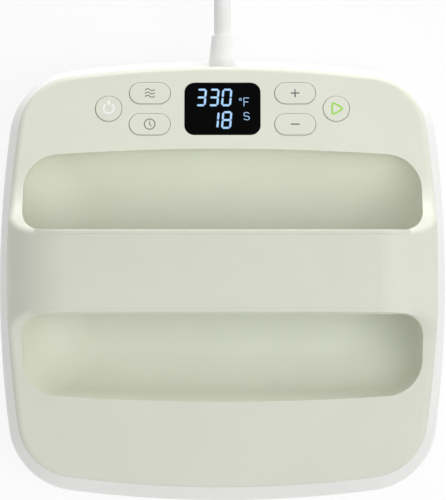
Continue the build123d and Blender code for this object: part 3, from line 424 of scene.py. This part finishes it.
def dress(material, *nodes):
    """Gives CAD nodes a material."""
    for node in nodes:
        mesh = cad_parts[node].data
        mesh.materials.clear()
        mesh.materials.append(material)


def stroke(lines, width, closed=False, smooth=False):
    """A mesh of round strokes along lines of (x, y) points."""
    curve = bpy.data.curves.new("stroke", "CURVE")
    curve.dimensions = "3D"
    curve.bevel_depth = width / 2
    curve.bevel_resolution = 3
    curve.use_fill_caps = True
    for points in lines:
        spline = curve.splines.new("NURBS" if smooth else "POLY")
        spline.points.add(len(points) - 1)
        for point, (x, y) in zip(spline.points, points):
            point.co = (x, y, 0, 1)
        if smooth:
            spline.order_u = 3
            spline.use_endpoint_u = not closed
            spline.resolution_u = 6
        spline.use_cyclic_u = closed
    holder = link(curve, "stroke")
    evaluated = holder.evaluated_get(bpy.context.evaluated_depsgraph_get())
    mesh = bpy.data.meshes.new_from_object(evaluated)
    bpy.data.objects.remove(holder)
    bpy.data.curves.remove(curve)
    return mesh


def print_symbol(meshes, name, material, body, u, v, rise):
    """Joins stroke meshes into one flattened symbol on the panel and rides it on a body."""
    shape = join_meshes(meshes)
    flatten = Matrix.Diagonal((1, 1, PRINT_THICKNESS, 1))
    bmesh.ops.transform(shape, matrix=panel_place(u, v, rise) @ flatten, verts=shape.verts)
    symbol = finish_mesh(shape, name, material)
    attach(symbol, body)


def arc(radius, start, end, steps, middle=(0, 0)):
    """Points on an arc, its angles in degrees from the right."""
    turns = [math.radians(start + (end - start) * i / steps) for i in range(steps + 1)]
    return [(middle[0] + radius * math.cos(t), middle[1] + radius * math.sin(t)) for t in turns]


def circle(radius, count, middle=(0, 0)):
    """Evenly spaced points on a circle, the first one at the right."""
    return arc(radius, 0, 360 - 360 / count, count - 1, middle)


class HEATPRESS_OT_shell(bpy.types.Operator):
    """Finish the top shell, the hollows' liner and the handle's lower half"""

    bl_idname = "heatpress.shell"
    bl_label = "Shell"

    def execute(self, context):
        look = context.scene.heatpress_finish
        colour = tuple(look.shell_colour)
        plastic = moulded_plastic("sage_plastic", colour, look.shell_roughness, look.grain_size)
        dress(plastic, "top_shell", "hand_well", "handle_underside")
        return {"FINISHED"}


class HEATPRESS_OT_housing(bpy.types.Operator):
    """Finish the white skirt and the pieces moulded in the same plastic"""

    bl_idname = "heatpress.housing"
    bl_label = "Lower housing"

    roughness = 0.4

    def execute(self, context):
        look = context.scene.heatpress_finish
        colour = tuple(look.skirt_colour)
        plastic = moulded_plastic("white_skirt", colour, self.roughness, look.grain_size)
        dress(plastic, "lower_housing", "terminal_block", "cord_clamp")
        return {"FINISHED"}


class HEATPRESS_OT_buttons(bpy.types.Operator):
    """Finish the six buttons and the switches' plungers"""

    bl_idname = "heatpress.buttons"
    bl_label = "Buttons"

    # The buttons are a little glossier than the shell
    smoother = 0.04
    plunger_roughness = 0.4

    def execute(self, context):
        look = context.scene.heatpress_finish
        colour = tuple(look.shell_colour)
        roughness = look.shell_roughness - self.smoother
        plastic = moulded_plastic("button_plastic", colour, roughness, look.grain_size)
        black = moulded_plastic(
            "switch_plastic", srgb(30, 30, 31), self.plunger_roughness, look.grain_size
        )
        for name in ("power", "temperature", "timer", "plus", "minus", "start"):
            dress(plastic, f"{name}_button")
            dress(black, f"{name}_plunger")
        return {"FINISHED"}


class HEATPRESS_OT_symbols(bpy.types.Operator):
    """Print the six buttons' symbols"""

    bl_idname = "heatpress.symbols"
    bl_label = "Symbols"

    # Power: a ring that is open at the top, by an angle each side, with a bar in the gap
    ring_radius = 2.82 * MM
    ring_line = 1.05 * MM
    ring_gap = 36
    ring_steps = 40
    bar_top = 4.5 * MM
    bar_foot = 0.35 * MM

    # Temperature: three waves, their shape in shares of half a wave's width and of its rise
    wave_half = 2.65 * MM
    wave_rise = 0.62 * MM
    wave_pitch = 1.93 * MM
    wave_shape = ((-1, -0.55), (-0.75, 0.7), (-0.35, 1.1), (0.35, -1.1), (0.75, -0.7), (1, 0.55))

    # Timer: a clock with a hand straight up and one down to the right
    clock_radius = 2.95 * MM
    clock_points = 48
    clock_hands = ((0, 1.85 * MM), (0, -0.1 * MM), (0.95 * MM, -1.2 * MM))

    # Plus and minus
    plus_half = 2.4 * MM
    plus_line = 0.8 * MM

    # Start: a triangle with rounded corners
    play_left = -2.3 * MM
    play_right = 4.1 * MM
    play_half = 3.9 * MM
    play_line = 1.05 * MM
    corner_share = 0.12

    def rounded(self, corners):
        """Closed outline whose corners are cut so that a smooth curve rounds them."""
        points = []
        before_each = corners[-1:] + corners[:-1]
        after_each = corners[1:] + corners[:1]
        for before, here, after in zip(before_each, corners, after_each):
            here = Vector(here)
            for other in (Vector(before), Vector(after)):
                points.append(tuple(here.lerp(other, self.corner_share)))
        return points

    def power(self):
        """The meshes of the power symbol."""
        ring = arc(self.ring_radius, 90 + self.ring_gap, 450 - self.ring_gap, self.ring_steps)
        bar = [(0, self.bar_foot), (0, self.bar_top)]
        return [stroke([ring], self.ring_line), stroke([bar], self.ring_line)]

    def temperature(self, line):
        """The mesh of the three waves."""
        waves = []
        for row in (-1, 0, 1):
            y = row * self.wave_pitch
            waves.append(
                [(x * self.wave_half, y + w * self.wave_rise) for x, w in self.wave_shape]
            )
        return [stroke(waves, line, smooth=True)]

    def timer(self, line):
        """The meshes of the clock's face and hands."""
        face = circle(self.clock_radius, self.clock_points)
        return [stroke([face], line, closed=True), stroke([self.clock_hands], line)]

    def start(self):
        """The mesh of the triangle."""
        left, right, half = self.play_left, self.play_right, self.play_half
        corners = [(left, half), (right, 0), (left, -half)]
        return [stroke([self.rounded(corners)], self.play_line, closed=True, smooth=True)]

    def execute(self, context):
        line = context.scene.heatpress_display.symbol_line
        white = printed_ink("white_ink", srgb(252, 252, 250))
        grey = printed_ink("grey_ink", srgb(112, 112, 108))
        green = printed_ink("green_ink", srgb(160, 222, 92))
        level = [(-self.plus_half, 0), (self.plus_half, 0)]
        upright = [(0, -self.plus_half), (0, self.plus_half)]
        plus = [stroke([level, upright], self.plus_line)]
        minus = [stroke([level], self.plus_line)]
        symbols = (
            ("power", self.power(), white, "symbol_white", -ROUND_U, 0),
            ("temperature", self.temperature(line), grey, "symbol_grey", -PILL_U, PILL_V),
            ("timer", self.timer(line), grey, "symbol_grey", -PILL_U, -PILL_V),
            ("plus", plus, grey, "symbol_grey", PILL_U, PILL_V),
            ("minus", minus, grey, "symbol_grey", PILL_U, -PILL_V),
            ("start", self.start(), green, "symbol_green", ROUND_U, 0),
        )
        for name, meshes, ink, slot, u, v in symbols:
            print_symbol(meshes, f"{name}_symbol", ink, f"{name}_key", u, v, BUTTON_PROUD)
        return {"FINISHED"}


class HEATPRESS_OT_display(bpy.types.Operator):
    """Finish the window and light the display's digits and letters"""

    bl_idname = "heatpress.display"
    bl_label = "Display"

    window_roughness = 0.05
    window_shine = 0.03

    # The two rows of digits, and the segments that each digit lights
    rise = 0.03 * MM
    temperature_text = "330"
    time_text = "18"
    row_v = 6.6 * MM
    last_digit_u = 2.35 * MM
    segments = {"0": "abcdef", "1": "bc", "3": "abcdg", "8": "abcdefg"}

    # A segment's thickness, and its points and gaps in shares of its width
    segment_thickness = 0.04 * MM
    point_share = 0.42
    gap_share = 0.16

    # The unit letters beside the digits
    letter_u = 13.35 * MM
    letter_half = 1.45 * MM
    letter_line = 0.42 * MM
    f_foot = 1.5 * MM
    f_middle = 3.95 * MM
    f_top = 6.35 * MM
    f_arm_short = 0.5 * MM
    s_top = -2.2 * MM
    s_foot = -6.5 * MM
    # The S from its top right end, across in halves of its width and down in its height
    s_shape = (
        (1.0, -0.16), (0.6, 0), (-0.95, 0), (-1.05, -0.5),
        (1.1, -0.52), (1.0, -1.0), (-0.65, -1), (-1.0, -0.84),
    )
    degree_u = 9.97 * MM
    degree_v = 5.5 * MM
    degree_radius = 0.62 * MM
    degree_points = 24
    degree_line = 0.3 * MM

    def segment(self, look, start, end):
        """One lit segment: a bar with pointed ends, from start to end."""
        start, end = Vector(start), Vector(end)
        run = end - start
        shape = bmesh.new()
        bmesh.ops.create_cube(shape, size=1)
        size = Matrix.Diagonal((run.length, look.segment_width, self.segment_thickness, 1))
        bmesh.ops.transform(shape, matrix=size, verts=shape.verts)
        uprights = [
            edge for edge in shape.edges
            if abs(edge.verts[0].co.z - edge.verts[1].co.z) > self.segment_thickness / 2
        ]
        bmesh.ops.bevel(
            shape, geom=uprights, offset=look.segment_width * self.point_share,
            affect="EDGES", segments=1, profile=0.5, material=-1,
        )
        middle = (start + end) / 2
        turn = Matrix.Rotation(math.atan2(run.y, run.x), 4, "Z")
        place = Matrix.Translation((middle.x, middle.y, 0)) @ turn
        lean = Matrix.Identity(4)
        lean[0][1] = math.tan(look.digit_lean)
        bmesh.ops.transform(shape, matrix=lean @ place, verts=shape.verts)
        mesh = bpy.data.meshes.new("segment")
        shape.to_mesh(mesh)
        shape.free()
        return mesh

    def digit(self, look, character, u, v):
        """The meshes of one digit round its middle at u, v."""
        half_x = (look.digit_width - look.segment_width) / 2
        half_y = (look.digit_height - look.segment_width) / 2
        gap = look.segment_width * self.gap_share
        ends = {
            "a": ((-half_x, half_y), (half_x, half_y)),
            "b": ((half_x, half_y), (half_x, 0)),
            "c": ((half_x, 0), (half_x, -half_y)),
            "d": ((half_x, -half_y), (-half_x, -half_y)),
            "e": ((-half_x, -half_y), (-half_x, 0)),
            "f": ((-half_x, 0), (-half_x, half_y)),
            "g": ((-half_x, 0), (half_x, 0)),
        }
        meshes = []
        for letter in self.segments[character]:
            start, end = (Vector(point) for point in ends[letter])
            inward = (end - start).normalized() * gap
            mesh = self.segment(look, start + inward, end - inward)
            mesh.transform(Matrix.Translation((u, v, 0)))
            meshes.append(mesh)
        return meshes

    def row(self, look, name, text, v, light):
        """One row of lit digits, laid from its last digit to the left."""
        meshes = []
        for place, character in enumerate(reversed(text)):
            u = self.last_digit_u - place * look.digit_pitch
            meshes += self.digit(look, character, u, v)
        shape = join_meshes(meshes)
        bmesh.ops.transform(shape, matrix=panel_place(0, 0, self.rise), verts=shape.verts)
        digits = finish_mesh(shape, name, light)
        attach(digits, "press")

    def letter_f(self):
        """The meshes of the F and its degree sign."""
        left, right = self.letter_u - self.letter_half, self.letter_u + self.letter_half
        stem = [(left, self.f_foot), (left, self.f_top), (right, self.f_top)]
        arm = [(left, self.f_middle), (right - self.f_arm_short, self.f_middle)]
        degree = circle(self.degree_radius, self.degree_points, (self.degree_u, self.degree_v))
        return [
            stroke([stem, arm], self.letter_line),
            stroke([degree], self.degree_line, closed=True),
        ]

    def letter_s(self):
        """The mesh of the S."""
        height = self.s_top - self.s_foot
        points = [
            (self.letter_u + x * self.letter_half, self.s_top + y * height)
            for x, y in self.s_shape
        ]
        return [stroke([points], self.letter_line, smooth=True)]

    def execute(self, context):
        look = context.scene.heatpress_display
        window = gloss_plastic(
            "window_black", srgb(3, 3, 4), self.window_roughness, self.window_shine
        )
        dress(window, "display_window")
        light = lit_segments("digit_light", tuple(look.light_colour))
        self.row(look, "temperature_digits", self.temperature_text, self.row_v, light)
        self.row(look, "time_digits", self.time_text, -self.row_v, light)
        letters = (("degree_letter", self.letter_f), ("seconds_letter", self.letter_s))
        for name, drawn in letters:
            print_symbol(drawn(), name, light, "press", 0, 0, self.rise)
        return {"FINISHED"}


class HEATPRESS_OT_plate(bpy.types.Operator):
    """Finish the heat plate, its element, sensors, spacers, blanket and shield"""

    bl_idname = "heatpress.plate"
    bl_label = "Heat plate"

    def execute(self, context):
        look = context.scene.heatpress_finish
        dress(coated_sole("sole_coat", tuple(look.sole_colour)), "heat_plate")
        steel = worked_metal("element_steel", srgb(150, 146, 140), roughness=0.42)
        dress(steel, "heating_element", "thermal_cutoff", "thermistor_probe", "shield_spacers")
        sheet = worked_metal("shield_sheet", srgb(196, 197, 199), roughness=0.3)
        dress(sheet, "heat_shield")
        steatite = moulded_plastic(
            "steatite", srgb(233, 229, 218), roughness=0.7, grain=0.5 * MM,
            mottle=0.03, strength=0.3,
        )
        dress(steatite, "element_terminals", "plate_spacers")
        dress(fibre_felt("fibre_blanket", srgb(236, 233, 224)), "insulation_blanket")
        return {"FINISHED"}


class HEATPRESS_OT_electronics(bpy.types.Operator):
    """Finish the boards, what stands on them and the wires"""

    bl_idname = "heatpress.electronics"
    bl_label = "Electronics"

    def execute(self, context):
        dress(circuit_board("board_mask", srgb(32, 96, 58)), "control_board", "power_board")
        black = moulded_plastic("case_black", srgb(34, 34, 36), roughness=0.45, grain=0.4 * MM)
        dress(black, "tact_switches", "relay", "transformer", "beeper", "display_module")
        yellow = gloss_plastic("capacitor_case", srgb(222, 170, 44), roughness=0.25)
        dress(yellow, "filter_capacitor")
        pale = moulded_plastic("fuse_body", srgb(226, 224, 214), roughness=0.5, grain=0.4 * MM)
        dress(pale, "fuse")
        bright = worked_metal("heatsink_metal", srgb(205, 206, 208), roughness=0.35)
        dress(bright, "triac_heatsink")
        grey = moulded_plastic("ribbon_grey", srgb(176, 177, 180), roughness=0.5, grain=0.5 * MM)
        dress(grey, "ribbon_cable")
        braid = moulded_plastic(
            "braid_white", srgb(230, 228, 220), roughness=0.75, grain=0.5 * MM,
            mottle=0.04, strength=0.5,
        )
        dress(braid, "element_leads", "core_wires")
        return {"FINISHED"}


class HEATPRESS_OT_fasteners(bpy.types.Operator):
    """Finish the screws"""

    bl_idname = "heatpress.fasteners"
    bl_label = "Screws"

    def execute(self, context):
        zinc = worked_metal(
            "zinc_plate", srgb(198, 199, 202), roughness=0.28,
            squeeze=(1.0, 1.0, 6.0), grain=0.4 * MM,
        )
        names = ("plate", "shell", "well", "handle", "board", "power_board", "clamp")
        dress(zinc, *[f"{name}_screws" for name in names])
        return {"FINISHED"}


class HEATPRESS_OT_cord(bpy.types.Operator):
    """Lay the mains cord from its boot by its coil to its plug, and finish boot and plug"""

    bl_idname = "heatpress.cord"
    bl_label = "Cord"

    def coil_points(self):
        """Control points of the coil's half turns: in on the floor, one up a layer, and out."""
        inwards = [-COIL_PITCH / 2] * COIL_TURNS_IN
        outwards = [COIL_PITCH / 2] * COIL_TURNS_OUT
        radius = COIL_OUTER_RADIUS
        # A smooth curve through a ring of control points runs inside them by this share
        grow = 1 / (0.75 + 0.25 * math.cos(math.pi / POINTS_PER_HALF_TURN))
        x, y = COIL_MIDDLE
        points = []
        for turn, step in enumerate(inwards + [0] + outwards):
            side = 1 if turn % 2 == 0 else -1
            start_x = x + side * radius
            radius += step
            end_x = x - side * radius
            middle_x = (start_x + end_x) / 2
            reach = abs(end_x - start_x) / 2 * grow
            start_z = COIL_LOW_Z if turn <= COIL_TURNS_IN else COIL_HIGH_Z
            end_z = COIL_LOW_Z if turn < COIL_TURNS_IN else COIL_HIGH_Z
            for place in range(POINTS_PER_HALF_TURN):
                share = (place + 0.5) / POINTS_PER_HALF_TURN
                angle = math.pi * share
                across = middle_x + side * reach * math.cos(angle)
                along = y + side * reach * math.sin(angle)
                points.append((across, along, start_z + (end_z - start_z) * share))
        return points

    def execute(self, context):
        look = context.scene.heatpress_cord
        colour = tuple(context.scene.heatpress_finish.cord_colour)
        rubber = moulded_plastic(
            "cord_jacket", colour, roughness=0.42, grain=0.6 * MM, mottle=0.02, strength=0.15
        )
        dress(rubber, "cord_end", "strain_relief", "plug_body")
        dress(worked_metal("blade_plating", srgb(214, 208, 190), roughness=0.2), "plug_blades")
        curve = bpy.data.curves.new("mains_cord_line", "CURVE")
        curve.dimensions = "3D"
        curve.bevel_depth = look.diameter / 2
        curve.bevel_resolution = 6
        curve.resolution_u = 8
        curve.use_fill_caps = True
        points = LEAD_POINTS + self.coil_points() + TAIL_POINTS
        spline = curve.splines.new("NURBS")
        spline.points.add(len(points) - 1)
        for point, place in zip(spline.points, points):
            point.co = (*(Vector(place) * MM), 1)
        spline.order_u = 3
        spline.use_endpoint_u = True
        curve.materials.append(rubber)
        cord = link(curve, "cord_jacket")
        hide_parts("mains_cord", "cord_coil", "cord_tail")
        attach(cord, "press")
        return {"FINISHED"}


class HEATPRESS_OT_stage(bpy.types.Operator):
    """Set the pale floor, the world, the lamps and the camera"""

    bl_idname = "heatpress.stage"
    bl_label = "Studio"

    # The floor is a square that reaches this far each way, just under the sole
    floor_reach = 6
    floor_drop = 0.2 * MM
    floor_tone = 0.9
    # What the camera sees of the floor: this strength of white, in this share
    floor_glow = 1.02
    glow_share = 0.84

    # Each lamp's turn from the right and rise above the floor, in degrees, and in metres its
    # distance from the point that all face, its width and its height
    lamps = {
        "key_lamp": (-20, 60, 1.6, 1.0, 1.0),
        "rear_lamp": (84, 4, 1.5, 1.2, 0.2),
        "fill_lamp": (-118, 13, 1.6, 1.3, 0.5),
    }
    lamp_target = (0, 0, 0.06)

    camera_target = (0.0003, 0.0172, 0.012)
    sensor_size = 36.0
    clip_start = 0.05
    clip_end = 30

    def clean_rays(self, tree):
        """1 where the camera, a reflection or a clear piece looks, 0 for light on things."""
        rays = tree.nodes.new("ShaderNodeLightPath")
        looked_at = rays.outputs["Is Camera Ray"]
        for kind in ("Is Glossy Ray", "Is Transmission Ray"):
            either = tree.nodes.new("ShaderNodeMath")
            either.operation = "MAXIMUM"
            tree.links.new(looked_at, either.inputs[0])
            tree.links.new(rays.outputs[kind], either.inputs[1])
            looked_at = either.outputs[0]
        return looked_at

    def mix(self, tree, share, first, second, output):
        """Joins two shaders' sockets into an output, the second one by this share."""
        mixed = tree.nodes.new("ShaderNodeMixShader")
        tree.links.new(share, mixed.inputs["Fac"])
        tree.links.new(first, mixed.inputs[1])
        tree.links.new(second, mixed.inputs[2])
        tree.links.new(mixed.outputs["Shader"], output.inputs["Surface"])

    def floor(self):
        """A wide pale floor that shows as white where no shadow falls."""
        shape = bmesh.new()
        bmesh.ops.create_grid(shape, x_segments=1, y_segments=1, size=self.floor_reach)
        bmesh.ops.translate(shape, vec=(0, 0, -self.floor_drop), verts=shape.verts)
        material = bpy.data.materials.new("studio_floor")
        tree = empty_tree(material)
        output = tree.nodes.new("ShaderNodeOutputMaterial")
        card = tree.nodes.new("ShaderNodeBsdfDiffuse")
        card.inputs["Color"].default_value = (self.floor_tone,) * 3 + (1,)
        glow = tree.nodes.new("ShaderNodeEmission")
        glow.inputs["Strength"].default_value = self.floor_glow
        share = tree.nodes.new("ShaderNodeMath")
        share.operation = "MULTIPLY"
        share.inputs[1].default_value = self.glow_share
        tree.links.new(self.clean_rays(tree), share.inputs[0])
        self.mix(tree, share.outputs[0], card.outputs["BSDF"], glow.outputs["Emission"], output)
        finish_mesh(shape, "floor", material)

    def background(self, tree, strength):
        """The socket of an even white background of this strength."""
        shader = tree.nodes.new("ShaderNodeBackground")
        shader.inputs["Color"].default_value = (1, 1, 1, 1)
        shader.inputs["Strength"].default_value = strength
        return shader.outputs["Background"]

    def world(self, look):
        """Even light from all sides, and white behind the floor's edge."""
        world = bpy.data.worlds.new("studio_world")
        bpy.context.scene.world = world
        tree = empty_tree(world)
        output = tree.nodes.new("ShaderNodeOutputWorld")
        ambient = self.background(tree, look.ambient)
        white = self.background(tree, 1.0)
        self.mix(tree, self.clean_rays(tree), ambient, white, output)

    def lamp(self, name, power):
        """A soft lamp that faces the press."""
        turn, rise, distance, width, height = self.lamps[name]
        data = bpy.data.lights.new(name, "AREA")
        data.shape = "RECTANGLE"
        data.size = width
        data.size_y = height
        data.energy = power
        turn, rise = math.radians(turn), math.radians(rise)
        level = math.cos(rise)
        way = Vector((level * math.cos(turn), level * math.sin(turn), math.sin(rise)))
        lamp = link(data, name)
        lamp.location = way * distance + Vector(self.lamp_target)
        lamp.rotation_euler = way.to_track_quat("Z", "Y").to_euler()

    def camera(self, look):
        """The camera, nearly straight above the press."""
        data = bpy.data.cameras.new("camera")
        data.lens = look.lens
        data.sensor_fit = "VERTICAL"
        data.sensor_height = self.sensor_size
        data.sensor_width = self.sensor_size
        data.clip_start = self.clip_start
        data.clip_end = self.clip_end
        camera = link(data, "camera")
        tilt = look.camera_tilt
        way = Vector((0, -math.sin(tilt), math.cos(tilt)))
        camera.location = Vector(self.camera_target) + look.camera_distance * way
        camera.rotation_euler = (tilt, 0, 0)
        bpy.context.scene.camera = camera

    def execute(self, context):
        look = context.scene.heatpress_studio
        self.floor()
        self.world(look)
        self.lamp("key_lamp", look.key_power)
        self.lamp("rear_lamp", look.rear_power)
        self.lamp("fill_lamp", look.fill_power)
        self.camera(look)
        context.scene.view_settings.view_transform = "Standard"
        return {"FINISHED"}


class HEATPRESS_PT_looks(bpy.types.Panel):
    """Lists the press's sizes and colours and its pieces in the sidebar"""

    bl_idname = "HEATPRESS_PT_looks"
    bl_label = "Heat press"
    bl_space_type = "VIEW_3D"
    bl_region_type = "UI"
    bl_category = "Heat press"

    def draw(self, context):
        for group_name in GROUPS:
            group = getattr(context.scene, group_name)
            box = self.layout.box()
            for name in group.bl_rna.properties.keys():
                if name not in ("rna_type", "name"):
                    box.prop(group, name)
        for operator in OPERATORS:
            self.layout.operator(operator.bl_idname)


GROUPS = {
    "heatpress_finish": HeatPressFinish,
    "heatpress_display": HeatPressDisplay,
    "heatpress_cord": HeatPressCord,
    "heatpress_studio": HeatPressStudio,
}
OPERATORS = (
    HEATPRESS_OT_stage,
    HEATPRESS_OT_cord,
    HEATPRESS_OT_shell,
    HEATPRESS_OT_housing,
    HEATPRESS_OT_buttons,
    HEATPRESS_OT_symbols,
    HEATPRESS_OT_display,
    HEATPRESS_OT_plate,
    HEATPRESS_OT_electronics,
    HEATPRESS_OT_fasteners,
)


def register():
    for group in GROUPS.values():
        bpy.utils.register_class(group)
    for operator in OPERATORS:
        bpy.utils.register_class(operator)
    bpy.utils.register_class(HEATPRESS_PT_looks)
    for name, group in GROUPS.items():
        setattr(bpy.types.Scene, name, PointerProperty(type=group))


def unregister():
    for name in GROUPS:
        delattr(bpy.types.Scene, name)
    bpy.utils.unregister_class(HEATPRESS_PT_looks)
    for operator in reversed(OPERATORS):
        bpy.utils.unregister_class(operator)
    for group in reversed(GROUPS.values()):
        bpy.utils.unregister_class(group)


def main():
    register()
    bpy.ops.heatpress.stage()
    bpy.ops.heatpress.cord()
    bpy.ops.heatpress.shell()
    bpy.ops.heatpress.housing()
    bpy.ops.heatpress.buttons()
    bpy.ops.heatpress.symbols()
    bpy.ops.heatpress.display()
    bpy.ops.heatpress.plate()
    bpy.ops.heatpress.electronics()
    bpy.ops.heatpress.fasteners()


if __name__ == "__main__":
    main()
